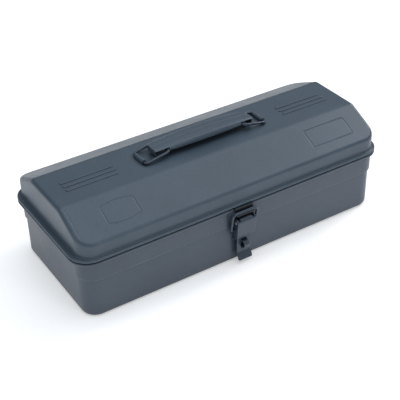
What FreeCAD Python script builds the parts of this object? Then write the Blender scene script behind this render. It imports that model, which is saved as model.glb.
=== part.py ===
import FreeCAD, Part
import math
import os
import re
import Sketcher
from FreeCAD import Placement, Rotation, Vector

# A small pressed-steel tool box: a tray with a hip-roofed lid on two rear
# hinges, a carrying handle on two wire loops and a draw latch at the front.
# Frame: X along the length, -Y towards the latch, +Z up, origin under the
# middle of the tray floor. Everything is in millimetres.

SIZES = {
    # pressed sheet of the box, and the strip that fittings are bent from
    "skin": 0.8,
    "strip": 1.2,
    # tray: lower wall, step out to the upper band, rolled rim
    "tray_half_x": 175.5,
    "tray_half_y": 72.0,
    "tray_corner": 15.8,
    "floor_round": 5.0,
    "step_out": 1.7,
    "step_height": 45.0,
    "rim_half_x": 182.4,
    "rim_half_y": 76.3,
    "rim_corner": 22.0,
    "rim_low": 64.7,
    "rim_bead": 3.1,
    "rim_gap": 0.7,
    # lid: side band, sloping faces and flat roof
    "lid_half_x": 176.7,
    "lid_half_y": 73.0,
    "lid_corner": 16.0,
    "shoulder_height": 86.9,
    "roof_height": 107.0,
    "roof_half_y": 30.6,
    "roof_round": 4.6,
    "crease_round": 8.0,
    "flare_round": 1.4,
    # pressed beads on the roof
    "bead_centre_x": 128.0,
    "bead_half_length": 29.0,
    "bead_half_width": 2.1,
    "bead_pitch": 7.0,
    "bead_rise": 0.9,
    # pressed outlines on the front slope
    "outline_depth": 0.5,
    "outline_radius": 1.3,
    "outline_corner": 2.2,
    "outline_middle": 22.8,
    "badge_centre_x": -122.4,
    "badge_half_length": 17.6,
    "badge_half_height": 9.2,
    "badge_bulge": 3.0,
    "frame_centre_x": 125.8,
    "frame_half_length": 25.8,
    "frame_half_height": 10.8,
    "press_line_x": 171.2,
    "press_line_radius": 1.0,
    "press_line_depth": 0.3,
    # rear hinges
    "hinge_spacing": 105.0,
    "hinge_half_length": 15.0,
    "hinge_half_middle": 6.0,
    "hinge_side_gap": 0.3,
    "hinge_axis_y": 80.9,
    "knuckle_radius": 2.9,
    "hinge_pin_radius": 1.6,
    "hinge_pin_play": 0.05,
    "hinge_shelf": 5.35,
    "tray_leaf_low": 49.0,
    "lid_leaf_high": 85.0,
    "leaf_rivet_x": 9.5,
    "tray_rivet_height": 55.0,
    "lid_rivet_height": 80.0,
    "rivet_radius": 1.5,
    "rivet_play": 0.05,
    # carrying handle
    "grip_top": 119.9,
    "grip_arch": 600.0,
    "grip_skin": 1.0,
    "grip_half_length": 43.0,
    "grip_half_width": 12.0,
    "grip_barrel": 723.0,
    "grip_low": 114.1,
    "grip_round": 3.2,
    "grip_end": 58.6,
    "grip_end_half_width": 10.4,
    "hook_gap": 4.5,
    "hook_reach": 4.2,
    "flute_spacing": 7.4,
    "flute_radius": 2.0,
    "flute_depth": 0.35,
    "dimple_x": 53.5,
    "wire": 2.9,
    "loop_pivot_x": 71.8,
    "loop_pivot_height": 108.8,
    "loop_length": 27.5,
    "loop_half_width": 12.3,
    "loop_corner": 2.6,
    "loop_rest_angle": 11.5,
    "bracket_skin": 1.0,
    "bracket_half_length": 8.0,
    "bracket_foot": 4.0,
    "bracket_play": 0.1,
    # draw latch
    "latch_low": 9.5,
    "latch_high": 58.0,
    "latch_half_width": 11.0,
    "latch_foot_half": 8.8,
    "latch_neck_half": 8.4,
    "latch_neck_low": 30.5,
    "pivot_y": -79.2,
    "pivot_height": 52.6,
    "pivot_radius": 1.2,
    "pivot_play": 0.06,
    "ear_radius": 2.4,
    "lever_half_width": 10.8,
    "lever_flange_gap": 0.3,
    "lever_round": 4.2,
    "lever_curl": 1.5,
    "lever_back": -74.2,
    "lever_shelf": 35.0,
    "lever_shelf_y": -81.8,
    "lever_foot": 31.0,
    "lever_foot_y": -77.7,
    "lever_tab_top": 13.0,
    "lever_tab_low": 4.8,
    "lever_tab_y": -81.4,
    "lever_tab_half": 8.3,
    "slot_half": 3.6,
    "slot_low": 16.8,
    "slot_high": 29.2,
    "bail_pivot_y": -76.4,
    "bail_pivot_height": 42.3,
    "bail_half_width": 14.5,
    "bail_rise": 22.05,
    "bail_lean": 10.2,
    "bail_corner": 4.0,
    "bail_end": 8.1,
    "bail_turn": 2.4,
    "keeper_half_width": 10.5,
    "keeper_high": 80.0,
    "keeper_front": -77.9,
    "keeper_ledge": 62.2,
    "keeper_lip": -81.6,
    "notch_play": 0.7,
    "staple_half_width": 3.0,
    "staple_low": 18.4,
    "staple_high": 27.6,
    "staple_front": -83.8,
    "latch_rivet_x": 4.5,
    "latch_rivet_height": 36.5,
    "latch_low_rivet_height": 13.0,
}

doc = FreeCAD.newDocument("ToolBox")
sheet = doc.addObject("Spreadsheet::Sheet", "Sizes")
for row, (alias, value) in enumerate(SIZES.items(), start=1):
    sheet.set(f"A{row}", alias)
    sheet.set(f"B{row}", str(value))
    sheet.setAlias(f"B{row}", alias)
doc.recompute()

parts = {}
# what a round leaves of the flat between two rounds that would meet
FLAT = 0.05
# a length below TINY counts as none, and places within NEAR are the same
TINY = 1e-3
NEAR = 0.02
# a rivet hole is drilled from this far inside a wall to as far outside it
DRILL_REACH = 3
PLANES = {"top": "XY_Plane", "front": "XZ_Plane", "side": "YZ_Plane"}


def size(alias):
    """A driving dimension, read back from the sheet."""
    return float(getattr(sheet, alias))


def in_sheet(formula):
    """The same formula, with each alias looked up in the sheet."""
    return re.sub(r"\b([a-z][a-z_]*)\b(?!\()", r"Sizes.\1", formula)


def bind(target, name, formula):
    """Bind a property or constraint to a formula in the sheet's aliases."""
    target.setExpression(name, in_sheet(formula))


def value_of(formula):
    """The number that a formula in the sheet's aliases comes to."""
    return float(sheet.evalExpression(in_sheet(formula)))


def keep(node, thing):
    """Name the object that is written out as this node."""
    thing.Label = node
    parts[node] = thing
    return thing


def new_body(name):
    return doc.addObject("PartDesign::Body", name)


def new_sketch(body, name, plane, offset="0"):
    """A sketch on one of the body's origin planes, moved along its normal."""
    sketch = body.newObject("Sketcher::SketchObject", name)
    role = PLANES[plane]
    origin_plane = next(f for f in body.Origin.OriginFeatures if f.Role == role)
    sketch.AttachmentSupport = [(origin_plane, "")]
    sketch.MapMode = "FlatFace"
    bind(sketch, "AttachmentOffset.Base.z", offset)
    return sketch


def fix_point(sketch, geometry, point, across, up):
    """Hold a point of the sketch at two formulas."""
    for kind, formula in (("DistanceX", across), ("DistanceY", up)):
        index = sketch.addConstraint(Sketcher.Constraint(kind, -1, 1, geometry, point, value_of(formula)))
        bind(sketch, f"Constraints[{index}]", formula)


def add_polygon(sketch, corners, arcs=None):
    """A closed outline, anticlockwise, each corner at a pair of formulas.

    A side is straight, or bulges outwards as an arc where arcs gives the
    radius for the number of the corner that the side starts from.
    """
    arcs = arcs or {}
    first = sketch.GeometryCount
    count = len(corners)
    points = [Vector(value_of(across), value_of(up), 0) for across, up in corners]
    for n in range(count):
        start, end = points[n], points[(n + 1) % count]
        if n in arcs:
            half = (end - start) / 2
            radius = value_of(arcs[n])
            bulge = radius - (radius**2 - half.Length**2) ** 0.5
            outwards = Vector(half.y, -half.x, 0).normalize()
            sketch.addGeometry(Part.Arc(start, start + half + outwards * bulge, end))
        else:
            sketch.addGeometry(Part.LineSegment(start, end))
    for n in range(count):
        # an arc is stored anticlockwise, so a side may start at its point 2
        side, following = first + n, first + (n + 1) % count
        near = 1 if sketch.getPoint(side, 1).isEqual(points[n], 1e-4) else 2
        corner_point = 1 if sketch.getPoint(following, 1).isEqual(points[(n + 1) % count], 1e-4) else 2
        sketch.addConstraint(Sketcher.Constraint("Coincident", side, 3 - near, following, corner_point))
        fix_point(sketch, side, near, *corners[n])
    for n, radius in arcs.items():
        index = sketch.addConstraint(Sketcher.Constraint("Radius", first + n, value_of(radius)))
        bind(sketch, f"Constraints[{index}]", radius)


def add_wire_path(sketch, corners, radii):
    """An open route of level and upright runs, joined by arcs."""
    points = [Vector(value_of(across), value_of(up), 0) for across, up in corners]
    bends = [value_of(radius) for radius in radii]
    runs = len(points) - 1
    ways = [(points[n + 1] - points[n]).normalize() for n in range(runs)]
    for n in range(runs):
        start = points[n] + (ways[n] * bends[n - 1] if n else Vector())
        end = points[n + 1] - (ways[n] * bends[n] if n < runs - 1 else Vector())
        sketch.addGeometry(Part.LineSegment(start, end))
        level = abs(ways[n].x) > 0.5
        sketch.addConstraint(Sketcher.Constraint("Horizontal" if level else "Vertical", n))
        kind, formula = ("DistanceY", corners[n][1]) if level else ("DistanceX", corners[n][0])
        index = sketch.addConstraint(Sketcher.Constraint(kind, -1, 1, n, 1, value_of(formula)))
        bind(sketch, f"Constraints[{index}]", formula)
    for n in range(runs - 1):
        corner, bend = points[n + 1], bends[n]
        centre = corner + (ways[n + 1] - ways[n]) * bend
        middle = centre + (corner - centre).normalize() * bend
        arc = sketch.addGeometry(Part.Arc(corner - ways[n] * bend, middle, corner + ways[n + 1] * bend))
        near = 1 if sketch.getPoint(arc, 1).isEqual(corner - ways[n] * bend, 1e-4) else 2
        sketch.addConstraint(Sketcher.Constraint("Tangent", n, 2, arc, near))
        sketch.addConstraint(Sketcher.Constraint("Tangent", n + 1, 1, arc, 3 - near))
        index = sketch.addConstraint(Sketcher.Constraint("Radius", arc, bend))
        bind(sketch, f"Constraints[{index}]", radii[n])
    for geometry, point, corner, way in ((0, 1, corners[0], ways[0]), (runs - 1, 2, corners[-1], ways[-1])):
        level = abs(way.x) > 0.5
        kind, formula = ("DistanceX", corner[0]) if level else ("DistanceY", corner[1])
        index = sketch.addConstraint(Sketcher.Constraint(kind, -1, 1, geometry, point, value_of(formula)))
        bind(sketch, f"Constraints[{index}]", formula)


def add_circle(sketch, across, up, radius):
    centre = Vector(value_of(across), value_of(up), 0)
    index = sketch.addGeometry(Part.Circle(centre, Vector(0, 0, 1), value_of(radius)))
    fix_point(sketch, index, 3, across, up)
    constraint = sketch.addConstraint(Sketcher.Constraint("Radius", index, value_of(radius)))
    bind(sketch, f"Constraints[{constraint}]", radius)


def pad(body, sketch, length, both=False):
    feature = body.newObject("PartDesign::Pad", sketch.Name + "_pad")
    feature.Profile = sketch
    if both:
        feature.Midplane = True
    bind(feature, "Length", length)
    return feature


def pocket(body, sketch, length, both=False, back=False):
    """Cut a sketch's outline; the volume must drop, or the cut missed."""
    doc.recompute()
    before = body.Shape.Volume
    feature = body.newObject("PartDesign::Pocket", sketch.Name + "_cut")
    feature.Profile = sketch
    feature.Midplane = both
    feature.Reversed = back
    bind(feature, "Length", length)
    doc.recompute()
    if body.Shape.Volume > before - 0.01:
        raise RuntimeError(f"{feature.Name} cut nothing")
    return feature


def edges_where(shape, wanted):
    """Names of the edges that a test on an edge's box and shape picks out."""
    return [f"Edge{n}" for n, edge in enumerate(shape.Edges, start=1) if wanted(edge)]


def fillet(body, wanted, radius):
    doc.recompute()
    base = body.Tip
    names = edges_where(base.Shape, wanted)
    if not names:
        raise RuntimeError(f"no edge to round on {body.Name}")
    feature = body.newObject("PartDesign::Fillet", body.Name + "_round")
    feature.Base = (base, names)
    bind(feature, "Radius", radius)
    doc.recompute()
    return feature


def spans(edge, axis):
    """How far an edge reaches along an axis, x, y or z."""
    box = edge.BoundBox
    return {"x": box.XLength, "y": box.YLength, "z": box.ZLength}[axis]


def runs_along(edge, axis):
    """True for a straight edge parallel to an axis."""
    others = [other for other in "xyz" if other != axis]
    return spans(edge, axis) > TINY and all(spans(edge, o) < TINY for o in others)


def lies_at(edge, **where):
    """True if an edge's centre is at the given x, y or z values."""
    centre = edge.BoundBox.Center
    return all(abs(getattr(centre, axis) - value) < NEAR for axis, value in where.items())


def rounded_rectangle(body, name, half_x, half_y, corner, height):
    """A sketch at a height: a rectangle about the origin with round corners."""
    sketch = new_sketch(body, name, "top", height)
    turn = value_of(corner)
    quarter = math.pi / 2
    centres = []
    for sign_x, sign_y in (("", "-"), ("", ""), ("-", ""), ("-", "-")):
        centres.append((f"{sign_x}(({half_x}) - ({corner}))", f"{sign_y}(({half_y}) - ({corner}))"))
    for n, (across, up) in enumerate(centres):
        centre = Vector(value_of(across), value_of(up), 0)
        circle = Part.Circle(centre, Vector(0, 0, 1), turn)
        sketch.addGeometry(Part.ArcOfCircle(circle, (n - 1) * quarter, n * quarter))
    for n in range(4):
        sketch.addGeometry(Part.LineSegment(sketch.getPoint(n, 2), sketch.getPoint((n + 1) % 4, 1)))
    for n in range(4):
        sketch.addConstraint(Sketcher.Constraint("Tangent", n, 2, 4 + n, 1))
        sketch.addConstraint(Sketcher.Constraint("Tangent", 4 + n, 2, (n + 1) % 4, 1))
        fix_point(sketch, n, 3, *centres[n])
    for n in (1, 2, 3):
        sketch.addConstraint(Sketcher.Constraint("Equal", 0, n))
    radius = sketch.addConstraint(Sketcher.Constraint("Radius", 0, turn))
    bind(sketch, f"Constraints[{radius}]", corner)
    return sketch


def rectangle(low_x, low_y, high_x, high_y):
    return [(low_x, low_y), (high_x, low_y), (high_x, high_y), (low_x, high_y)]


def drill(body, name, plane, wall, circles, back=False):
    """Round holes through a wall: circles are (across, up, radius)."""
    start = f"{wall} - {DRILL_REACH}" if back else f"{wall} + {DRILL_REACH}"
    sketch = new_sketch(body, name, plane, start)
    for circle in circles:
        add_circle(sketch, *circle)
    pocket(body, sketch, f"{2 * DRILL_REACH}", back=back)


RIM_TOP = "rim_low + rim_bead"
LID_LOW = "rim_low + rim_bead + rim_gap"
BAND_HALF_Y = "tray_half_y + step_out"
SEAM_HEIGHT = "rim_low + rim_bead + rim_gap / 2"
KEEPER_SHELF = "rim_low + rim_bead + rim_gap - 0.3"


def tray_form():
    """The tray's outside, with the keeper's notch and the rivet holes."""
    body = new_body("tray_form")
    lower = rounded_rectangle(body, "tray_lower", "tray_half_x", "tray_half_y", "tray_corner", "0")
    pad(body, lower, "step_height")
    band_x = "tray_half_x + step_out"
    band_corner = "tray_corner + step_out"
    band = rounded_rectangle(body, "tray_band", band_x, BAND_HALF_Y, band_corner, "step_height")
    pad(body, band, "rim_low - step_height")
    rim = rounded_rectangle(body, "tray_rim", "rim_half_x", "rim_half_y", "rim_corner", "rim_low")
    pad(body, rim, "rim_bead")
    fillet(body, lambda e: spans(e, "z") < TINY and lies_at(e, z=0), "floor_round")
    step_low = value_of("step_height")
    outer_band = value_of(BAND_HALF_Y)
    fillet(body, lambda e: runs_along(e, "x") and lies_at(e, z=step_low, y=outer_band), "step_out * 0.8")
    rim_y = value_of("rim_half_y")
    fillet(body, lambda e: runs_along(e, "x") and lies_at(e, y=rim_y), f"rim_bead / 2 - {FLAT}")
    notch = "keeper_half_width + notch_play"
    rim_notch = new_sketch(body, "rim_notch", "top", RIM_TOP)
    add_polygon(rim_notch, rectangle(f"-({notch})", "-rim_half_y - 1", notch, f"-({BAND_HALF_Y})"))
    pocket(body, rim_notch, "rim_bead")
    wall_notch = new_sketch(body, "wall_notch", "top", RIM_TOP)
    inside = f"-({BAND_HALF_Y}) + skin + 1"
    add_polygon(wall_notch, rectangle(f"-({notch})", "-rim_half_y - 1", notch, inside))
    pocket(body, wall_notch, f"{RIM_TOP} - ({KEEPER_SHELF}) + strip + notch_play")
    hole = "rivet_radius + rivet_play"
    front_holes = [
        ("-latch_rivet_x", "latch_rivet_height", hole),
        ("latch_rivet_x", "latch_rivet_height", hole),
        ("0", "latch_low_rivet_height", hole),
    ]
    drill(body, "latch_holes", "front", "tray_half_y", front_holes, back=True)
    back_holes = [(across, "tray_rivet_height", hole) for across in hinge_rivet_places()]
    drill(body, "hinge_holes", "front", "-tray_half_y", back_holes)
    return body


def tray_hollow():
    """The room inside the tray: a well, and a wider opening above the step."""
    body = new_body("tray_hollow")
    well = rounded_rectangle(
        body, "tray_well", "tray_half_x - skin", "tray_half_y - skin", "tray_corner - skin", "skin"
    )
    pad(body, well, "step_height")
    opening = rounded_rectangle(
        body,
        "tray_opening",
        "tray_half_x + step_out - skin",
        f"{BAND_HALF_Y} - skin",
        "tray_corner + step_out - skin",
        "step_height + skin",
    )
    pad(body, opening, "rim_low + rim_bead - step_height")
    floor = size("skin")
    fillet(body, lambda e: spans(e, "z") < TINY and lies_at(e, z=floor), "floor_round - skin")
    return body


def tray_shell():
    """The pressed tray: floor, wall, step out and rolled rim, all one sheet."""
    tray = doc.addObject("Part::Cut", "tray_shell")
    tray.Base = tray_form()
    tray.Tool = tray_hollow()
    return keep("tray_shell", tray)


def hinge_rivet_places():
    """Where the hinge rivets are along the length, as formulas."""
    places = []
    for side in ("-", ""):
        for end in ("-", "+"):
            places.append(f"{side}hinge_spacing {end} leaf_rivet_x")
    return places


HALF_SLOPE = "tan(atan((roof_height - shoulder_height) / (lid_half_y - roof_half_y)) / 2)"


def lid_block(name, inset, low):
    """The lid's form as a solid, drawn in by inset on every face."""
    body = new_body(name)
    half_y = f"(lid_half_y - {inset})"
    roof = f"(roof_height - {inset})"
    roof_y = f"(roof_half_y - {inset} * {HALF_SLOPE})"
    shoulder = f"(shoulder_height - {inset} * (1 - {HALF_SLOPE}) / (1 + {HALF_SLOPE}))"
    section = new_sketch(body, name + "_section", "side")
    add_polygon(
        section,
        [
            ("-" + half_y, low),
            (half_y, low),
            (half_y, shoulder),
            (roof_y, roof),
            ("-" + roof_y, roof),
            ("-" + half_y, shoulder),
        ],
    )
    pad(body, section, f"2 * (lid_half_x - {inset})", both=True)
    fillet(body, lambda e: runs_along(e, "z"), f"lid_corner - {inset}")
    roof_z = value_of(roof)
    fillet(body, lambda e: runs_along(e, "x") and lies_at(e, z=roof_z), f"crease_round - {inset}")
    shoulder_z = value_of(shoulder)
    corner_x = value_of("lid_half_x - lid_corner") - 0.1

    def on_roof_outline(edge):
        centre = edge.BoundBox.Center
        at_end = abs(centre.x) > corner_x
        at_shoulder = runs_along(edge, "x") and abs(centre.z - shoulder_z) < NEAR
        upright = runs_along(edge, "z")
        return edge.BoundBox.ZMax > shoulder_z - NEAR and not upright and (at_end or at_shoulder)

    fillet(body, on_roof_outline, f"roof_round - {inset}")
    return body


def lid_form():
    """The lid's outside: the block, its rolled rim and the beads on the roof."""
    body = lid_block("lid_form", "0", LID_LOW)
    rim = rounded_rectangle(body, "lid_rim", "rim_half_x", "rim_half_y", "rim_corner", LID_LOW)
    pad(body, rim, "rim_bead")
    rim_y = value_of("rim_half_y")
    fillet(body, lambda e: runs_along(e, "x") and lies_at(e, y=rim_y), f"rim_bead / 2 - {FLAT}")
    wall_y = size("lid_half_y")
    rim_z = value_of(LID_LOW + " + rim_bead")
    fillet(body, lambda e: runs_along(e, "x") and lies_at(e, y=wall_y, z=rim_z), "flare_round")
    beads = new_sketch(body, "roof_beads", "top", "roof_height - bead_rise / 2")
    for side in ("-", ""):
        for row in ("-bead_pitch", "0", "bead_pitch"):
            add_polygon(
                beads,
                rectangle(
                    f"{side}bead_centre_x - bead_half_length",
                    f"{row} - bead_half_width",
                    f"{side}bead_centre_x + bead_half_length",
                    f"{row} + bead_half_width",
                ),
            )
    pad(body, beads, "bead_rise * 3 / 2")
    roof_z = size("roof_height")
    fillet(
        body,
        lambda e: runs_along(e, "z") and e.BoundBox.ZMin > roof_z - NEAR,
        f"bead_half_width - {FLAT}",
    )
    bead_z = value_of("roof_height + bead_rise")
    fillet(body, lambda e: runs_along(e, "x") and lies_at(e, z=bead_z), "bead_rise * 0.9")
    return body


def slope_frame(lift):
    """The front slope's top line, and its directions down and out of the face.

    The line is lifted off the face, or sunk into it where lift is negative.
    """
    drop = size("roof_height") - size("shoulder_height")
    run = size("lid_half_y") - size("roof_half_y")
    down = Vector(0, -run, -drop).normalize()
    out = Vector(0, -drop, run).normalize()
    start = Vector(0, -size("roof_half_y"), size("roof_height")) + out * lift
    return start, down, out


def outline_corners(which):
    """An outline's corners on the front slope: along the box, and down it."""
    middle = size("outline_middle")
    centre = size(which + "_centre_x")
    wide = size(which + "_half_length")
    high = size(which + "_half_height")
    return [
        (centre - wide, middle + high),
        (centre + wide, middle + high),
        (centre + wide, middle - high),
        (centre - wide, middle - high),
    ]


def slope_outline(name, corners, bulges):
    """A shallow round groove along an outline pressed into the front slope.

    A side is straight, or bows by the rise that bulges gives for the number
    of the corner that it starts from.
    """
    start, down, out = slope_frame(size("outline_radius") - size("outline_depth"))

    def place(across, along):
        return start + Vector(across, 0, 0) + down * along

    sides = []
    for n, (across, along) in enumerate(corners):
        here = place(across, along)
        next_across, next_along = corners[(n + 1) % len(corners)]
        there = place(next_across, next_along)
        if n in bulges:
            middle = place((across + next_across) / 2, along + bulges[n])
            sides.append(Part.Arc(here, middle, there).toShape())
        else:
            sides.append(Part.LineSegment(here, there).toShape())
    plate = Part.Face(Part.Wire(sides)).extrude(out)
    upright = [e for e in plate.Edges if abs(e.tangentAt(e.FirstParameter).dot(out)) > 0.999]
    plate = plate.makeFillet(size("outline_corner"), upright)
    base = min(plate.Faces, key=lambda f: f.CenterOfMass.dot(out))
    path = base.OuterWire
    first = path.Edges[0]
    section = Part.Circle(
        first.valueAt(first.FirstParameter), first.tangentAt(first.FirstParameter), size("outline_radius")
    )
    tool = doc.addObject("Part::Feature", name)
    tool.Shape = path.makePipeShell([Part.Wire(section.toShape())], True, True)
    return tool


def press_line(side):
    """A faint line that the press leaves down the front slope near one end."""
    radius = size("press_line_radius")
    start, down, _ = slope_frame(radius - size("press_line_depth"))
    top = start + down * size("crease_round") / 2
    slope = math.hypot(
        size("roof_height") - size("shoulder_height"), size("lid_half_y") - size("roof_half_y")
    )
    length = slope - size("crease_round") / 2 - size("roof_round")
    tool = doc.addObject("Part::Feature", "press_line")
    groove = Part.makeCylinder(radius, length, top, down)
    tip = Part.makeSphere(radius, top)
    tail = Part.makeSphere(radius, top + down * length)
    tool.Shape = groove.fuse([tip, tail])
    bind(tool, "Placement.Base.x", f"{side} * press_line_x")
    return tool


def lid_shell():
    """The pressed lid: the form less its hollow, with slots and rivet holes."""
    form = lid_form()
    hollow = lid_block("lid_hollow", "skin", LID_LOW + " - 2")
    shell = doc.addObject("Part::Cut", "lid_hollowed")
    shell.Base = form
    shell.Tool = hollow
    bulge = size("badge_bulge")
    tools = [
        slope_outline("badge_groove", outline_corners("badge"), {0: bulge, 2: -bulge}),
        slope_outline("frame_groove", outline_corners("frame"), {}),
        press_line(-1),
        press_line(1),
    ]
    for side in (-1, 1):
        for leg in (-1, 1):
            slot = doc.addObject("Part::Box", "bracket_slot")
            bind(slot, "Length", "bracket_skin + 2 * bracket_play")
            bind(slot, "Width", "2 * (bracket_half_length + bracket_play)")
            bind(slot, "Height", "3 * skin")
            reach = "wire / 2 + bracket_play + bracket_skin / 2"
            centre = f"{side} * loop_pivot_x + {leg} * ({reach})"
            bind(slot, "Placement.Base.x", f"{centre} - bracket_skin / 2 - bracket_play")
            bind(slot, "Placement.Base.y", "-bracket_half_length - bracket_play")
            bind(slot, "Placement.Base.z", "roof_height - 2 * skin")
            tools.append(slot)
    for across in hinge_rivet_places():
        hole = doc.addObject("Part::Cylinder", "lid_rivet_hole")
        bind(hole, "Radius", "rivet_radius + rivet_play")
        hole.Height = 2 * DRILL_REACH
        hole.Placement.Rotation = Rotation(Vector(1, 0, 0), -90)
        bind(hole, "Placement.Base.x", across)
        bind(hole, "Placement.Base.y", f"lid_half_y - {DRILL_REACH}")
        bind(hole, "Placement.Base.z", "lid_rivet_height")
        tools.append(hole)
    cutters = doc.addObject("Part::MultiFuse", "lid_cutters")
    cutters.Shapes = tools
    lid = doc.addObject("Part::Cut", "lid_shell")
    lid.Base = shell
    lid.Tool = cutters
    return keep("lid_shell", lid)


def hinge_leaf(node, side, on_lid):
    """A strip leaf: plate on the wall, shelf out past the rim, rolled knuckle."""
    body = new_body(node + "_body")
    wall = "lid_half_y" if on_lid else f"({BAND_HALF_Y})"
    way = "+" if on_lid else "-"
    tip = "lid_leaf_high" if on_lid else "tray_leaf_low"
    near = f"{SEAM_HEIGHT} {way} hinge_shelf"
    far = f"{SEAM_HEIGHT} {way} (hinge_shelf + strip)"
    out = "hinge_axis_y + knuckle_radius"
    corners = [
        (wall, tip),
        (f"{wall} + strip", tip),
        (f"{wall} + strip", far),
        (out, far),
        (out, SEAM_HEIGHT),
        (f"{out} - strip", SEAM_HEIGHT),
        (f"{out} - strip", near),
        (wall, near),
    ]
    if on_lid:
        corners.reverse()
    section = new_sketch(body, node + "_section", "side")
    add_polygon(section, corners)
    pad(body, section, "2 * hinge_half_length", both=True)
    bend_y, bend_z = value_of(out), value_of(far)
    fillet(body, lambda e: runs_along(e, "x") and lies_at(e, y=bend_y, z=bend_z), "strip * 1.5")
    knuckle = new_sketch(body, node + "_knuckle", "side")
    add_circle(knuckle, "hinge_axis_y", SEAM_HEIGHT, "knuckle_radius")
    pad(body, knuckle, "2 * hinge_half_length", both=True)
    # the knuckles of the two leaves take turns along the pin
    gaps = new_sketch(body, node + "_gaps", "top", f"{SEAM_HEIGHT} - hinge_shelf")
    outer_y = "hinge_axis_y + knuckle_radius + 1"
    inner_y = "hinge_axis_y - knuckle_radius - 0.4"
    if on_lid:
        low, high = "hinge_half_middle", "hinge_half_length + 1"
        add_polygon(gaps, rectangle(f"-({high})", inner_y, f"-{low}", outer_y))
        add_polygon(gaps, rectangle(low, inner_y, high, outer_y))
        pocket(body, gaps, "2 * hinge_shelf", back=True)
    else:
        middle = "hinge_half_middle + hinge_side_gap"
        add_polygon(gaps, rectangle(f"-({middle})", inner_y, middle, outer_y))
        pocket(body, gaps, "2 * hinge_shelf", back=True)
    bore = "hinge_pin_radius + hinge_pin_play"
    across = new_sketch(body, node + "_bore", "side")
    add_circle(across, "hinge_axis_y", SEAM_HEIGHT, bore)
    pocket(body, across, "2 * hinge_half_length + 2", both=True)
    height = "lid_rivet_height" if on_lid else "tray_rivet_height"
    holes = [(f"{end}leaf_rivet_x", height, "rivet_radius + rivet_play") for end in ("-", "")]
    drill(body, node + "_holes", "front", "-lid_half_y", holes)
    tip_z = value_of(tip)
    fillet(body, lambda e: runs_along(e, "y") and lies_at(e, z=tip_z), "strip * 2")
    bind(body, "Placement.Base.x", f"{side} * hinge_spacing")
    return keep(node, body)


def hinge_pin(node, side):
    """A pin with both ends spread, through the knuckles of one hinge."""
    body = new_body(node + "_body")
    shank = new_sketch(body, node + "_shank", "side")
    add_circle(shank, "hinge_axis_y", SEAM_HEIGHT, "hinge_pin_radius")
    pad(body, shank, "2 * hinge_half_length + 2", both=True)
    for end in ("hinge_half_length", "-hinge_half_length - 1"):
        head = new_sketch(body, node + "_head", "side", end)
        add_circle(head, "hinge_axis_y", SEAM_HEIGHT, "hinge_pin_radius * 1.4")
        pad(body, head, "1")
    tip = value_of("hinge_half_length + 1")
    fillet(body, lambda e: abs(abs(e.BoundBox.Center.x) - tip) < TINY, "0.5")
    bind(body, "Placement.Base.x", f"{side} * hinge_spacing")
    return keep(node, body)


def rivet_shape(grip, dome_radius=2.6, dome_rise=1.2, tail_radius=2.4, tail_rise=0.9):
    """A set rivet on +Z: tail below 0, plates from 0 to grip, dome above."""
    radius = size("rivet_radius")
    sphere = (dome_radius**2 + dome_rise**2) / (2 * dome_rise)
    points = [
        Vector(0, 0, -tail_rise),
        Vector(tail_radius * 0.7, 0, -tail_rise),
        Vector(tail_radius, 0, -tail_rise * 0.4),
        Vector(tail_radius, 0, 0),
        Vector(radius, 0, 0),
        Vector(radius, 0, grip),
        Vector(dome_radius, 0, grip),
    ]
    edges = [Part.LineSegment(a, b).toShape() for a, b in zip(points, points[1:])]
    top = Vector(0, 0, grip + dome_rise)
    lean = math.asin(dome_radius / sphere) / 2
    centre = grip + dome_rise - sphere
    middle = Vector(sphere * math.sin(lean), 0, centre + sphere * math.cos(lean))
    edges.append(Part.Arc(points[-1], middle, top).toShape())
    edges.append(Part.LineSegment(top, points[0]).toShape())
    return Part.Face(Part.Wire(edges)).revolve(Vector(), Vector(0, 0, 1), 360)


def rivet_group(node, grip, places, turn):
    """Several rivets of one kind, as separate solids of one object."""
    rivets = []
    for place in places:
        rivet = rivet_shape(grip)
        rivet.Placement = Placement(place, turn)
        rivets.append(rivet)
    group = doc.addObject("Part::Feature", node + "_set")
    group.Shape = Part.Compound(rivets)
    return keep(node, group)


def hinge_parts():
    for side, name in ((-1, "left"), (1, "right")):
        hinge_leaf(f"hinge_leaf_tray_{name}", side, on_lid=False)
        hinge_leaf(f"hinge_leaf_lid_{name}", side, on_lid=True)
        hinge_pin(f"hinge_pin_{name}", side)
    outwards = Rotation(Vector(0, 0, 1), Vector(0, 1, 0))
    grip = size("skin") + size("strip")
    across = [value_of(place) for place in hinge_rivet_places()]
    tray_inside = value_of(BAND_HALF_Y + " - skin")
    lid_inside = value_of("lid_half_y - skin")
    tray_places = [Vector(x, tray_inside, size("tray_rivet_height")) for x in across]
    lid_places = [Vector(x, lid_inside, size("lid_rivet_height")) for x in across]
    rivet_group("hinge_rivets_tray", grip, tray_places, outwards)
    rivet_group("hinge_rivets_lid", grip, lid_places, outwards)


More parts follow.
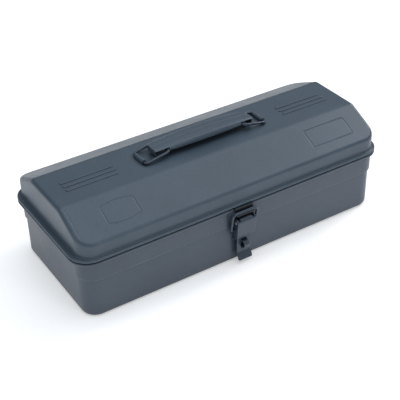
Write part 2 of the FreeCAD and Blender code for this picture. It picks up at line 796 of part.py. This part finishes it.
def grip_block(name, inset, half_length, low):
    """The grip's arched, barrel-sided form as a solid, drawn in by inset."""
    body = new_body(name)
    arch = f"(grip_arch - {inset})"
    end_top = f"(grip_top - grip_arch + sqrt({arch}^2 - ({half_length})^2))"
    profile = new_sketch(body, name + "_profile", "front")
    corners = rectangle(f"-({half_length})", low, half_length, end_top)
    add_polygon(profile, corners, {2: arch})
    pad(body, profile, "3 * grip_half_width", both=True)
    barrel = f"(grip_barrel - {inset})"
    end_half = f"(grip_half_width - grip_barrel + sqrt({barrel}^2 - ({half_length})^2))"
    outside = new_sketch(body, name + "_sides", "top", "grip_top + 5")
    beyond = f"({half_length} + 5)"
    add_polygon(outside, rectangle(f"-{beyond}", "-2 * grip_half_width", beyond, "2 * grip_half_width"))
    barrel_corners = rectangle(f"-({half_length})", "-" + end_half, half_length, end_half)
    add_polygon(outside, barrel_corners, {0: barrel, 2: barrel})
    pocket(body, outside, "30")
    long_edge = 1.5 * value_of(half_length)
    middle_z = value_of(f"grip_top - {inset}") - 4
    fillet(
        body, lambda e: spans(e, "x") > long_edge and e.BoundBox.ZMin > middle_z, f"grip_round - {inset}"
    )
    return body


def handle_grip():
    """The grip: an arched channel whose ends are flat and turned under."""
    form = grip_block("grip_form", "0", "grip_end", "grip_low")
    # beyond the flanges only the top plate is left, and its hooks
    under = "(grip_arch - grip_skin)"
    under_end = f"grip_top - grip_arch + sqrt({under}^2 - grip_end^2)"
    under_flange = f"grip_top - grip_arch + sqrt({under}^2 - grip_half_length^2)"
    ends = new_sketch(form, "grip_end_cuts", "front")
    below = "grip_low - 1"
    beyond = "grip_end + 1"
    right_end = [
        ("grip_half_length", below),
        (beyond, below),
        (beyond, under_end),
        ("grip_half_length", under_flange),
    ]
    add_polygon(ends, right_end)
    add_polygon(ends, [(f"-({across})", up) for across, up in reversed(right_end)])
    pocket(form, ends, "4 * grip_half_width", both=True)
    hollow = grip_block("grip_hollow", "grip_skin", "grip_end + 2", "grip_low - 1")
    channel = doc.addObject("Part::Cut", "grip_channel")
    channel.Base = form
    channel.Tool = hollow
    hooks = new_body("grip_hooks")
    section = new_sketch(hooks, "grip_hook_section", "front")
    top = f"{under_end} + grip_skin / 2"
    lip = f"{under_end} - hook_gap"
    wall = "grip_end - grip_skin"
    right = [
        (wall, top),
        (wall, lip),
        (f"{wall} - hook_reach", lip),
        (f"{wall} - hook_reach", f"{lip} - grip_skin"),
        ("grip_end", f"{lip} - grip_skin"),
        ("grip_end", top),
    ]
    left = [(f"-({across})", up) for across, up in reversed(right)]
    add_polygon(section, right)
    add_polygon(section, left)
    pad(hooks, section, "2 * (grip_end_half_width - 3)", both=True)
    lip_low = value_of(f"{lip} - grip_skin")
    end_x = size("grip_end")

    def outer_turn(edge):
        at_end = abs(abs(edge.BoundBox.Center.x) - end_x) < NEAR
        return at_end and runs_along(edge, "y") and lies_at(edge, z=lip_low)

    fillet(hooks, outer_turn, "grip_skin * 1.4")
    joined = doc.addObject("Part::MultiFuse", "grip_joined")
    joined.Shapes = [channel, hooks]
    joined.Refine = True
    flutes = []
    for row in ("-flute_spacing", "0", "flute_spacing"):
        flute = doc.addObject("Part::Torus", "grip_flute")
        bind(flute, "Radius1", "grip_arch + flute_radius - flute_depth")
        bind(flute, "Radius2", "flute_radius")
        flute.Placement.Rotation = Rotation(Vector(1, 0, 0), 90)
        bind(flute, "Placement.Base.y", row)
        bind(flute, "Placement.Base.z", "grip_top - grip_arch")
        flutes.append(flute)
    for side in (-1, 1):
        dimple = doc.addObject("Part::Sphere", "grip_dimple")
        dimple.Radius = 2
        bind(dimple, "Placement.Base.x", f"{side} * dimple_x")
        sunk = "sqrt(grip_arch^2 - dimple_x^2) - grip_arch - 0.45 + 2"
        bind(dimple, "Placement.Base.z", f"grip_top + {sunk}")
        flutes.append(dimple)
    pressings = doc.addObject("Part::MultiFuse", "grip_pressings")
    pressings.Shapes = flutes
    grip = doc.addObject("Part::Cut", "handle_grip_cut")
    grip.Base = joined
    grip.Tool = pressings
    return keep("handle_grip", grip)


def round_wire(body, name, path, plane, offset, across="0", up="0"):
    """Sweep the wire's round section along a path sketch."""
    section = new_sketch(body, name + "_section", plane, offset)
    add_circle(section, across, up, "wire / 2")
    doc.recompute()
    pipe = body.newObject("PartDesign::AdditivePipe", name + "_pipe")
    pipe.Profile = section
    pipe.Spine = path
    doc.recompute()
    length = path.Shape.Length
    expected = length * math.pi * (size("wire") / 2) ** 2
    if abs(body.Shape.Volume / expected - 1) > 0.005:
        raise RuntimeError(f"{name} is {body.Shape.Volume:.1f} mm3, not {expected:.1f}")


def handle_loop(node, side):
    """A closed wire loop, lying back from its bar in the bracket."""
    body = new_body(node + "_body")
    path = new_sketch(body, node + "_path", "top")
    corners = [
        ("0", "0"),
        ("0", "-loop_half_width"),
        ("loop_length", "-loop_half_width"),
        ("loop_length", "loop_half_width"),
        ("0", "loop_half_width"),
        ("0", "0"),
    ]
    add_wire_path(path, corners, ["loop_corner"] * 4)
    round_wire(body, node, path, "front", "0")
    turn = Rotation(Vector(0, 1, 0), -size("loop_rest_angle"))
    if side > 0:
        turn = Rotation(Vector(0, 0, 1), 180).multiply(turn)
    body.Placement = Placement(Vector(), turn)
    bind(body, "Placement.Base.x", f"{side} * loop_pivot_x")
    bind(body, "Placement.Base.z", "loop_pivot_height")
    return keep(node, body)


def handle_bracket(node, side):
    """A strap bent over the loop's bar, its feet turned out under the roof."""
    body = new_body(node + "_body")
    inner = "(wire / 2 + bracket_play)"
    outer = "(wire / 2 + bracket_play + bracket_skin)"
    foot = f"({outer} + bracket_foot)"
    foot_high = "roof_height - skin"
    foot_low = "roof_height - skin - bracket_skin"
    crown = f"loop_pivot_height + {outer}"
    inner_crown = f"loop_pivot_height + {inner}"
    section = new_sketch(body, node + "_section", "front")
    add_polygon(
        section,
        [
            (inner, foot_low),
            (foot, foot_low),
            (foot, foot_high),
            (outer, foot_high),
            (outer, crown),
            ("-" + outer, crown),
            ("-" + outer, foot_high),
            ("-" + foot, foot_high),
            ("-" + foot, foot_low),
            ("-" + inner, foot_low),
            ("-" + inner, inner_crown),
            (inner, inner_crown),
        ],
    )
    pad(body, section, "2 * bracket_half_length", both=True)
    top = value_of(crown)
    fillet(body, lambda e: runs_along(e, "y") and lies_at(e, z=top), f"{outer} - {FLAT}")
    under = value_of(inner_crown)
    fillet(body, lambda e: runs_along(e, "y") and lies_at(e, z=under), f"{inner} - {FLAT}")
    bind(body, "Placement.Base.x", f"{side} * loop_pivot_x")
    return keep(node, body)


def handle_parts():
    handle_grip()
    for side, name in ((-1, "left"), (1, "right")):
        handle_loop(f"handle_loop_{name}", side)
        handle_bracket(f"handle_bracket_{name}", side)


def latch_base_plate():
    """The plate on the tray's front, with two ears that hold the pivot pin."""
    body = new_body("latch_base_body")
    back_low = "-tray_half_y"
    back_high = f"-({BAND_HALF_Y})"
    section = new_sketch(body, "latch_base_section", "side")
    add_polygon(
        section,
        [
            (f"{back_low} - strip", "latch_low"),
            (back_low, "latch_low"),
            (back_low, "step_height - 1.4"),
            (back_high, "step_height - 0.1"),
            (back_high, "latch_high"),
            (f"{back_high} - strip", "latch_high"),
            (f"{back_high} - strip", "step_height - 0.5"),
            (f"{back_low} - strip", "step_height - 1.8"),
        ],
    )
    pad(body, section, "2 * latch_half_width", both=True)
    sides = new_sketch(body, "latch_base_neck", "front", f"{BAND_HALF_Y} + 5")
    for sign in ("-", ""):
        edges = sorted([f"{sign}latch_neck_half", f"{sign}(latch_half_width + 1)"], key=value_of)
        add_polygon(sides, rectangle(edges[0], "latch_neck_low", edges[1], "latch_high + 1"))
    pocket(body, sides, "10")
    taper = new_sketch(body, "latch_base_taper", "front", f"{BAND_HALF_Y} + 5")
    low, high = "latch_low - 1", "latch_neck_low"
    add_polygon(
        taper,
        [("latch_foot_half", low), ("latch_half_width + 1", low), ("latch_half_width", high)],
    )
    add_polygon(
        taper,
        [("-latch_half_width - 1", low), ("-latch_foot_half", low), ("-latch_half_width", high)],
    )
    pocket(body, taper, "10")
    for low in ("latch_neck_half - strip", "-latch_neck_half"):
        ear = new_sketch(body, "latch_ear", "side", low)
        add_polygon(
            ear,
            [
                ("pivot_y - ear_radius", "pivot_height - ear_radius"),
                (f"{back_high} - strip / 2", "pivot_height - 2 * ear_radius"),
                (f"{back_high} - strip / 2", "pivot_height - ear_radius"),
                ("pivot_y", "pivot_height + ear_radius"),
                ("pivot_y - ear_radius", "pivot_height + ear_radius"),
            ],
        )
        pad(body, ear, "strip")
    tip = value_of("pivot_y - ear_radius")
    fillet(body, lambda e: runs_along(e, "x") and lies_at(e, y=tip), "ear_radius - 0.02")
    pin = new_sketch(body, "latch_base_bore", "side")
    add_circle(pin, "pivot_y", "pivot_height", "pivot_radius + pivot_play")
    pocket(body, pin, "3 * latch_half_width", both=True)
    hole = "rivet_radius + rivet_play"
    holes = [
        ("-latch_rivet_x", "latch_rivet_height", hole),
        ("latch_rivet_x", "latch_rivet_height", hole),
        ("0", "latch_low_rivet_height", hole),
    ]
    drill(body, "latch_base_holes", "front", "tray_half_y", holes, back=True)
    foot = size("latch_low")
    fillet(body, lambda e: runs_along(e, "y") and lies_at(e, z=foot), "strip * 2")
    return keep("latch_base_plate", body)


def staple_block(name, inset, back):
    """The staple's round-nosed form as a solid, drawn in by inset."""
    body = new_body(name)
    section = new_sketch(body, name + "_section", "side")
    low, high = f"staple_low + {inset}", f"staple_high - {inset}"
    nose = f"staple_front + {inset}"
    add_polygon(section, rectangle(nose, low, back, high))
    pad(body, section, f"2 * (staple_half_width + {inset})", both=True)
    front = value_of(nose)
    radius = f"(staple_high - staple_low) / 2 - {inset} - {FLAT}"
    fillet(body, lambda e: runs_along(e, "x") and lies_at(e, y=front), radius)
    return body


def latch_staple():
    """The padlock staple: a strap loop that stands out through the lever."""
    back = "-tray_half_y - strip"
    staple = doc.addObject("Part::Cut", "latch_staple")
    staple.Base = staple_block("staple_form", "0", back)
    staple.Tool = staple_block("staple_eye", "strip", f"{back} + 1")
    return keep("latch_staple", staple)


def latch_lever():
    """The lever: a channel over the ears, then a slotted foot and finger tab."""
    body = new_body("latch_lever_body")
    face = "pivot_y - lever_round"
    crown = "pivot_height + lever_round"
    foot_in = "lever_foot_y + strip"
    outline = new_sketch(body, "lever_outline", "side")
    add_polygon(
        outline,
        [
            ("lever_shelf_y", "lever_shelf"),
            ("lever_foot_y", "lever_foot"),
            (foot_in, "lever_foot"),
            ("lever_back", "lever_shelf + 2"),
            ("lever_back", "bail_pivot_height + 3"),
            ("pivot_y + lever_round", "pivot_height - 1"),
            ("pivot_y + lever_round", crown),
            (face, crown),
            (face, "pivot_height"),
        ],
    )
    pad(body, outline, "2 * lever_half_width", both=True)
    top = value_of(crown)
    fillet(body, lambda e: runs_along(e, "x") and lies_at(e, z=top), f"lever_round - {FLAT}")
    shelf, front = size("lever_shelf"), size("lever_shelf_y")
    fillet(body, lambda e: runs_along(e, "x") and lies_at(e, y=front, z=shelf), "strip * 1.5")
    # the room between the flanges, open towards the wall
    room = new_sketch(body, "lever_room", "side")
    inner_shelf = "lever_shelf_y + strip"
    inner_front = f"{face} + strip"
    add_polygon(
        room,
        [
            (inner_shelf, "lever_shelf + strip / 2"),
            (foot_in, "lever_foot + strip / 2"),
            ("lever_back + 2", "lever_foot + strip / 2"),
            ("lever_back + 2", f"{crown} + 1"),
            ("pivot_y + lever_curl", f"{crown} + 1"),
            ("pivot_y + lever_curl", f"{crown} - strip"),
            ("pivot_y", f"{crown} - strip"),
            (inner_front, "pivot_height"),
        ],
        {6: "lever_round - strip"},
    )
    flange_inside = "2 * (lever_half_width - strip)"
    pocket(body, room, flange_inside, both=True)
    # the top is open over the ears, so that only the middle strip curls over
    open_low = f"{crown} - lever_round / 2"
    ear_inside = "latch_neck_half - strip - lever_flange_gap"
    for start in ("-(lever_half_width - strip)", ear_inside):
        slot = new_sketch(body, "lever_ear_slot", "side", start)
        add_polygon(slot, rectangle(f"{face} - 1", open_low, "lever_back + 1", f"{crown} + 1"))
        pocket(body, slot, f"lever_half_width - strip - ({ear_inside})", back=True)
    foot = new_sketch(body, "lever_foot_section", "side")
    add_polygon(
        foot,
        [
            (inner_shelf, "lever_shelf + strip / 2"),
            ("lever_shelf_y", "lever_shelf + 0.1"),
            ("lever_foot_y", "lever_foot"),
            ("lever_foot_y", "lever_tab_top"),
            ("lever_tab_y", "lever_tab_low"),
            ("lever_tab_y + strip * 0.93", "lever_tab_low - strip * 0.36"),
            (foot_in, "lever_tab_top - strip * 0.25"),
            (foot_in, "lever_foot + strip / 2"),
        ],
    )
    pad(body, foot, "2 * lever_tab_half", both=True)
    slot = new_sketch(body, "lever_staple_slot", "front", "-lever_foot_y + 3")
    add_polygon(slot, rectangle("-slot_half", "slot_low", "slot_half", "slot_high"))
    pocket(body, slot, "6")
    bores = new_sketch(body, "lever_bores", "side")
    add_circle(bores, "pivot_y", "pivot_height", "pivot_radius + pivot_play")
    add_circle(bores, "bail_pivot_y", "bail_pivot_height", "wire / 2 + bracket_play")
    pocket(body, bores, "3 * lever_half_width", both=True)
    half = size("lever_tab_half")
    low = value_of("lever_tab_low")

    def tab_corner(edge):
        centre = edge.BoundBox.Center
        through = spans(edge, "x") < TINY and spans(edge, "z") < 1
        return through and abs(abs(centre.x) - half) < NEAR and abs(centre.z - low) < 0.5

    fillet(body, tab_corner, "strip")
    return keep("latch_lever", body)


def latch_pivot_pin():
    body = new_body("latch_pin_body")
    shank = new_sketch(body, "latch_pin_shank", "side")
    add_circle(shank, "pivot_y", "pivot_height", "pivot_radius")
    pad(body, shank, "2 * (lever_half_width + 1)", both=True)
    for start in ("lever_half_width + 0.1", "-lever_half_width - 1.1"):
        head = new_sketch(body, "latch_pin_head", "side", start)
        add_circle(head, "pivot_y", "pivot_height", "pivot_radius * 1.6")
        pad(body, head, "1")
    tip = value_of("lever_half_width + 1.1")
    fillet(body, lambda e: abs(abs(e.BoundBox.Center.x) - tip) < TINY, "0.5")
    return keep("latch_pivot_pin", body)


def latch_bail():
    """The wire bail, bent in at both ends to turn in the lever's flanges."""
    body = new_body("latch_bail_body")
    path = new_sketch(body, "bail_path", "front")
    corners = [
        ("-bail_end", "0"),
        ("-bail_half_width", "0"),
        ("-bail_half_width", "bail_rise"),
        ("bail_half_width", "bail_rise"),
        ("bail_half_width", "0"),
        ("bail_end", "0"),
    ]
    add_wire_path(path, corners, ["bail_turn", "bail_corner", "bail_corner", "bail_turn"])
    round_wire(body, "latch_bail", path, "side", "-bail_end")
    body.Placement = Placement(Vector(), Rotation(Vector(1, 0, 0), size("bail_lean")))
    bind(body, "Placement.Base.y", "bail_pivot_y")
    bind(body, "Placement.Base.z", "bail_pivot_height")
    return keep("latch_bail", body)


def latch_keeper():
    """The hook on the lid: a strip from inside the band, out and under the bail."""
    body = new_body("latch_keeper_body")
    section = new_sketch(body, "keeper_section", "side")
    wall = "-(lid_half_y - skin)"
    add_polygon(
        section,
        [
            (f"{wall} + strip", "keeper_high"),
            (wall, "keeper_high"),
            (wall, KEEPER_SHELF),
            ("keeper_front", KEEPER_SHELF),
            ("keeper_front", "keeper_ledge"),
            ("keeper_lip", "keeper_ledge"),
            ("keeper_lip", "keeper_ledge - strip"),
            ("keeper_front + strip", "keeper_ledge - strip"),
            ("keeper_front + strip", f"{KEEPER_SHELF} - strip"),
            (f"{wall} + strip", f"{KEEPER_SHELF} - strip"),
        ],
    )
    pad(body, section, "2 * keeper_half_width", both=True)
    front, back = size("keeper_front"), value_of("keeper_front + strip")
    shelf = value_of(KEEPER_SHELF)
    ledge_low = value_of("keeper_ledge - strip")
    inside = value_of(f"{wall} + strip")
    shelf_low = value_of(f"{KEEPER_SHELF} - strip")

    def outer_bend(edge):
        places = ((front, shelf), (back, ledge_low), (inside, shelf_low))
        return runs_along(edge, "x") and any(lies_at(edge, y=y, z=z) for y, z in places)

    fillet(body, outer_bend, "strip")
    return keep("latch_keeper", body)


def latch_parts():
    latch_base_plate()
    latch_staple()
    latch_lever()
    latch_pivot_pin()
    latch_bail()
    latch_keeper()
    outwards = Rotation(Vector(0, 0, 1), Vector(0, -1, 0))
    inside = value_of("-tray_half_y + skin")
    places = [
        Vector(-size("latch_rivet_x"), inside, size("latch_rivet_height")),
        Vector(size("latch_rivet_x"), inside, size("latch_rivet_height")),
        Vector(0, inside, size("latch_low_rivet_height")),
    ]
    rivet_group("latch_base_rivets", size("skin") + size("strip"), places, outwards)


def check_and_write():
    doc.recompute()
    for thing in doc.Objects:
        if "Invalid" in thing.State or "Error" in thing.State:
            raise RuntimeError(f"{thing.Name} did not rebuild: {thing.State}")
    os.makedirs("parts", exist_ok=True)
    for node, thing in parts.items():
        shape = thing.Shape
        if shape.isNull() or not shape.isValid():
            raise RuntimeError(f"{node} has no valid shape")
        shape.exportStep(f"parts/{node}.step")
        box = shape.BoundBox
        print(f"{node}: {len(shape.Solids)} solids, {shape.Volume:.0f} mm3, {box}")


tray_shell()
lid_shell()
hinge_parts()
handle_parts()
latch_parts()
check_and_write()
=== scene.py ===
import math

import bpy
from mathutils import Matrix, Vector

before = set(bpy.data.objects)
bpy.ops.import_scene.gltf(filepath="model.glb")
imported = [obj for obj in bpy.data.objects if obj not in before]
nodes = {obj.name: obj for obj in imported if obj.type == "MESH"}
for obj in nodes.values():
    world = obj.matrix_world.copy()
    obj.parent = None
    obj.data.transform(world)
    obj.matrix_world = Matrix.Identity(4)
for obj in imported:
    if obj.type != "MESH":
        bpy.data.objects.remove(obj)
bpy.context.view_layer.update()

MM = 0.001


# ---------------------------------------------------------------- node trees


class Tree:
    """A node tree, with one short call for each node."""

    def __init__(self, tree):
        self.tree = tree

    def add(self, kind, **inputs):
        node = self.tree.nodes.new(kind)
        for socket, value in inputs.items():
            self.feed(node, socket, value)
        return node

    def feed(self, node, socket, value):
        target = node.inputs[socket]
        if isinstance(value, bpy.types.NodeSocket):
            self.tree.links.new(value, target)
        else:
            target.default_value = value

    def maths(self, operation, first, second):
        node = self.add("ShaderNodeMath")
        node.operation = operation
        self.feed(node, 0, first)
        self.feed(node, 1, second)
        return node.outputs["Value"]

    def dot(self, first, second):
        node = self.add("ShaderNodeVectorMath")
        node.operation = "DOT_PRODUCT"
        self.feed(node, 0, first)
        self.feed(node, 1, second)
        return node.outputs["Value"]


class Surface(Tree):
    """A new material and its tree."""

    def __init__(self, name):
        self.material = bpy.data.materials.new(name)
        self.material.use_nodes = True
        super().__init__(self.material.node_tree)
        self.shader = self.tree.nodes["Principled BSDF"]
        self.place = self.add("ShaderNodeTexCoord").outputs["Object"]

    def noise(self, scale, detail=3.0, roughness=0.5):
        """Noise with about `scale` features to the metre."""
        node = self.add("ShaderNodeTexNoise", Scale=scale, Detail=detail, Roughness=roughness)
        self.feed(node, "Vector", self.place)
        return node.outputs["Fac"]

    def spread(self, value, low, high, to_low=0.0, to_high=1.0):
        """Stretch the range from low to high over the one from to_low to to_high."""
        node = self.add("ShaderNodeMapRange", Value=value)
        self.feed(node, "From Min", low)
        self.feed(node, "From Max", high)
        self.feed(node, "To Min", to_low)
        self.feed(node, "To Max", to_high)
        return node.outputs["Result"]

    def blend(self, share, first, second):
        node = self.add("ShaderNodeMix")
        node.data_type = "RGBA"
        self.feed(node, "Factor", share)
        self.feed(node, "A", first)
        self.feed(node, "B", second)
        return node.outputs["Result"]

    def bump(self, height, strength, distance, normal=None):
        node = self.add("ShaderNodeBump", Height=height, Strength=strength, Distance=distance)
        if normal is not None:
            self.feed(node, "Normal", normal)
        return node.outputs["Normal"]

    def openness(self, reach):
        """1 in the open, falling to 0 deep in a gap narrower than the reach."""
        node = self.add("ShaderNodeAmbientOcclusion", Distance=reach)
        node.samples = 8
        return node.outputs["AO"]

    def edges(self, radius):
        """0 on open faces, rising to 1 on the sharpest turns of the surface."""
        rounded = self.add("ShaderNodeBevel", Radius=radius)
        rounded.samples = 4
        plain = self.add("ShaderNodeNewGeometry").outputs["Normal"]
        return self.spread(self.dot(rounded.outputs["Normal"], plain), low=0.99, high=0.80)


# ---------------------------------------------------------------- materials


def shade(colour, factor, lift=0.0):
    return tuple(factor * channel + lift for channel in colour) + (1,)


def paint(name, colour, roughness, peel=0.6, wear_and_highlight=0.5, edge=0.9 * MM, shade_depth=0.8, gloss=0.06):
    """Baked satin enamel on steel: edges lighter as rubbed paint and painted highlight,
    gaps and covered places darker and duller as painted shade.

    peel is the depth of the orange peel, wear_and_highlight is how far edges lighten,
    shade_depth is how dark narrow gaps get, edge is the radius that counts as an edge, and
    gloss is the strength of the clear skin.
    """
    n = Surface(name)
    clouds = n.noise(14.0, detail=4.0, roughness=0.55)
    flecks = n.noise(420.0, roughness=0.6)
    tone = n.maths("ADD", n.maths("MULTIPLY", clouds, 0.6), n.maths("MULTIPLY", flecks, 0.4))
    coat = n.blend(n.spread(tone, low=0.38, high=0.62), shade(colour, 0.90), shade(colour, 1.09))

    # Edges turn lighter: partly paint rubbed thin, partly a painted highlight along the edges.
    patches = n.spread(n.noise(60.0, detail=4.0, roughness=0.6), low=0.35, high=0.65, to_low=0.4)
    edge_wear_and_highlight = n.maths("MULTIPLY", n.edges(edge), patches)
    coat = n.blend(n.maths("MULTIPLY", edge_wear_and_highlight, wear_and_highlight), coat, shade(colour, 2.2, lift=0.03))

    # Painted shade: the colour darkens in narrow gaps and under covering parts, where shade falls,
    # and the paint there is duller.
    seam_shade = n.spread(n.openness(3.5 * MM), low=0.3, high=0.92, to_low=shade_depth, to_high=0.0)
    cover_shade = n.spread(n.openness(20 * MM), low=0.15, high=0.60, to_low=0.8, to_high=0.0)
    painted_shade = n.maths("MAXIMUM", seam_shade, cover_shade)
    n.feed(n.shader, "Base Color", n.blend(painted_shade, coat, shade(colour, 0.22)))

    smears = n.spread(
        n.noise(30.0, detail=5.0, roughness=0.7),
        low=0.3,
        high=0.7,
        to_low=roughness - 0.04,
        to_high=roughness + 0.05,
    )
    n.feed(n.shader, "Roughness", n.maths("ADD", smears, n.maths("MULTIPLY", painted_shade, 0.25)))
    n.feed(n.shader, "Specular IOR Level", 0.45)
    n.feed(n.shader, "Specular Tint", (0.93, 0.96, 1.0, 1))
    n.feed(n.shader, "Coat Weight", gloss)
    n.feed(n.shader, "Coat Roughness", 0.16)

    waves = n.bump(n.noise(24.0, detail=2.0), strength=0.22, distance=1.0 * MM)
    skin = n.bump(n.noise(520.0, detail=2.0), strength=peel, distance=0.10 * MM, normal=waves)
    grit = n.bump(n.noise(1900.0, detail=2.0), strength=peel / 2, distance=0.04 * MM, normal=skin)
    n.feed(n.shader, "Normal", grit)
    return n.material


def steel(name, colour, roughness):
    """Plated steel, with small dull stains and a fine grain."""
    n = Surface(name)
    stains = n.spread(n.noise(240.0, detail=4.0, roughness=0.6), low=0.35, high=0.65)
    n.feed(n.shader, "Base Color", n.blend(stains, shade(colour, 0.6), shade(colour, 1.0)))
    polish = n.spread(stains, low=0.0, high=1.0, to_low=roughness + 0.1, to_high=roughness - 0.05)
    n.feed(n.shader, "Roughness", polish)
    n.feed(n.shader, "Metallic", 1.0)
    grain = n.bump(n.noise(1800.0, detail=2.0), strength=0.4, distance=0.02 * MM)
    n.feed(n.shader, "Normal", grain)
    return n.material


def give(material, *names):
    """Put one material on CAD nodes."""
    for name in names:
        nodes[name].data.materials.clear()
        nodes[name].data.materials.append(material)


SLATE = (0.052, 0.079, 0.107)
# The tray's colour is the lid's paint tinted warmer: painted light, standing in for the warmer
# light that falls on the tray.
SLATE_IN_WARM_LIGHT = (0.058, 0.077, 0.104)
DARK_SLATE = (0.034, 0.051, 0.074)
# The keeper's near-black colour is painted shade for the dark gap between the bail and the rim.
KEEPER_SHADE_BLACK = (0.010, 0.016, 0.023)
BLUE_BLACK = (0.018, 0.036, 0.060)
ZINC = (0.42, 0.45, 0.49)

lid_paint = paint("lid_paint", SLATE, 0.40, wear_and_highlight=0.7, edge=1.4 * MM, shade_depth=1.0)
# The tray has the lid's paint, tinted warmer as painted light.
tray_paint = paint("tray_paint", SLATE_IN_WARM_LIGHT, 0.42, wear_and_highlight=0.9, edge=2.0 * MM, shade_depth=1.0)
grip_paint = paint("grip_paint", SLATE, 0.36)
hinge_paint = paint("hinge_paint", SLATE, 0.38)
latch_paint = paint("latch_black", DARK_SLATE, 0.32, wear_and_highlight=1.0, shade_depth=1.0, gloss=0.15)
# The keeper is coloured near black as painted shade.
keeper_shade_paint = paint("keeper_painted_shade", KEEPER_SHADE_BLACK, 0.50, shade_depth=1.0, gloss=0.0)
wire_paint = paint("dark_wire", BLUE_BLACK, 0.28, peel=0.2, wear_and_highlight=0.3, shade_depth=0.95, gloss=0.3)
rivet_steel = steel("rivet_steel", ZINC, 0.34)

give(lid_paint, "lid_shell")
give(tray_paint, "tray_shell")
give(grip_paint, "handle_grip", "handle_bracket_left", "handle_bracket_right")
give(latch_paint, "latch_base_plate", "latch_staple", "latch_lever")
give(keeper_shade_paint, "latch_keeper")
give(wire_paint, "handle_loop_left", "handle_loop_right", "latch_bail")
give(rivet_steel, "latch_pivot_pin", "latch_base_rivets", "hinge_rivets_tray", "hinge_rivets_lid")
for side in ("left", "right"):
    give(hinge_paint, f"hinge_leaf_tray_{side}", f"hinge_leaf_lid_{side}")
    give(rivet_steel, f"hinge_pin_{side}")


# ------------------------------------------------------- floor, light, camera


def add_floor(reach, glow):
    """A pale floor, faintly mottled, with a little light of its own."""
    mesh = bpy.data.meshes.new("floor")
    corners = [(-reach, -reach, 0), (reach, -reach, 0), (reach, reach, 0), (-reach, reach, 0)]
    mesh.from_pydata(corners, [], [(0, 1, 2, 3)])
    floor = bpy.data.objects.new("floor", mesh)
    bpy.context.scene.collection.objects.link(floor)
    n = Surface("floor")
    mottle = n.spread(n.noise(3.0), low=0.35, high=0.65)
    n.feed(n.shader, "Base Color", n.blend(mottle, (0.90, 0.90, 0.90, 1), (0.92, 0.92, 0.92, 1)))
    n.feed(n.shader, "Roughness", 0.9)
    n.feed(n.shader, "Emission Color", (1, 1, 1, 1))
    n.feed(n.shader, "Emission Strength", glow)
    mesh.materials.append(n.material)


def add_light(name, place, aim, side, power, colour):
    """A square soft box."""
    data = bpy.data.lights.new(name, "AREA")
    data.size = side
    data.energy = power
    data.color = colour
    light = bpy.data.objects.new(name, data)
    bpy.context.scene.collection.objects.link(light)
    light.location = place
    light.rotation_mode = "QUATERNION"
    light.rotation_quaternion = (Vector(aim) - Vector(place)).to_track_quat("-Z", "Y")


def add_world(colour, base, lobes):
    """A studio: even light, and soft boxes as broad lobes about directions."""
    world = bpy.data.worlds.new("studio")
    bpy.context.scene.world = world
    world.use_nodes = True
    n = Tree(world.node_tree)
    background = n.tree.nodes["Background"]
    n.feed(background, "Color", colour)
    direction = n.add("ShaderNodeTexCoord").outputs["Generated"]
    total = base
    for towards, tightness, strength in lobes:
        near = n.maths("MAXIMUM", n.dot(direction, Vector(towards).normalized()), 0.0)
        lobe = n.maths("MULTIPLY", n.maths("POWER", near, tightness), strength)
        total = n.maths("ADD", total, lobe)
    n.feed(background, "Strength", total)


def add_camera(place, aim, roll, lens):
    """roll is in degrees about the line of sight, and lens is in millimetres."""
    data = bpy.data.cameras.new("camera")
    data.sensor_width = 36
    data.lens = lens
    camera = bpy.data.objects.new("camera", data)
    bpy.context.scene.collection.objects.link(camera)
    forward = (Vector(aim) - Vector(place)).normalized()
    right = forward.cross(Vector((0, 0, 1))).normalized()
    up = right.cross(forward)
    tilt = math.radians(roll)
    across = right * math.cos(tilt) + up * math.sin(tilt)
    upward = up * math.cos(tilt) - right * math.sin(tilt)
    turned = Matrix((across, upward, -forward)).transposed()
    camera.matrix_world = Matrix.Translation(place) @ turned.to_4x4()
    bpy.context.scene.camera = camera


# Each lobe is the direction that its light comes from, how tight it is, and its strength.
OVERHEAD = ((0, 0, 1), 4, 1.85)
UPPER_RIGHT = ((1, 0, 1), 10, 0.75)
BEHIND = ((0.43, 0.70, 0.57), 16, 0.40)
FRONT = ((0, -1, 0.25), 8, 0.36)
LEFT = ((-1, 0, 0), 12, 1.20)

add_floor(reach=6.0, glow=0.36)
add_world((0.95, 0.99, 1.04, 1), 0.03, (OVERHEAD, UPPER_RIGHT, BEHIND, FRONT, LEFT))
add_light(
    "key", (1.3, 0.12, 0.95), aim=(0, 0, 0.05), side=0.35, power=6.6, colour=(1.0, 0.95, 0.92)
)
add_light(
    "front", (0.5, -1.7, 1.1), aim=(0, 0, 0.04), side=0.25, power=2.6, colour=(0.96, 0.98, 1.0)
)
add_camera((-0.4491, -0.7158, 0.6205), aim=(-0.00281, 0, 0.03177), roll=-1.40, lens=86.83)
bpy.context.scene.view_settings.view_transform = "Standard"
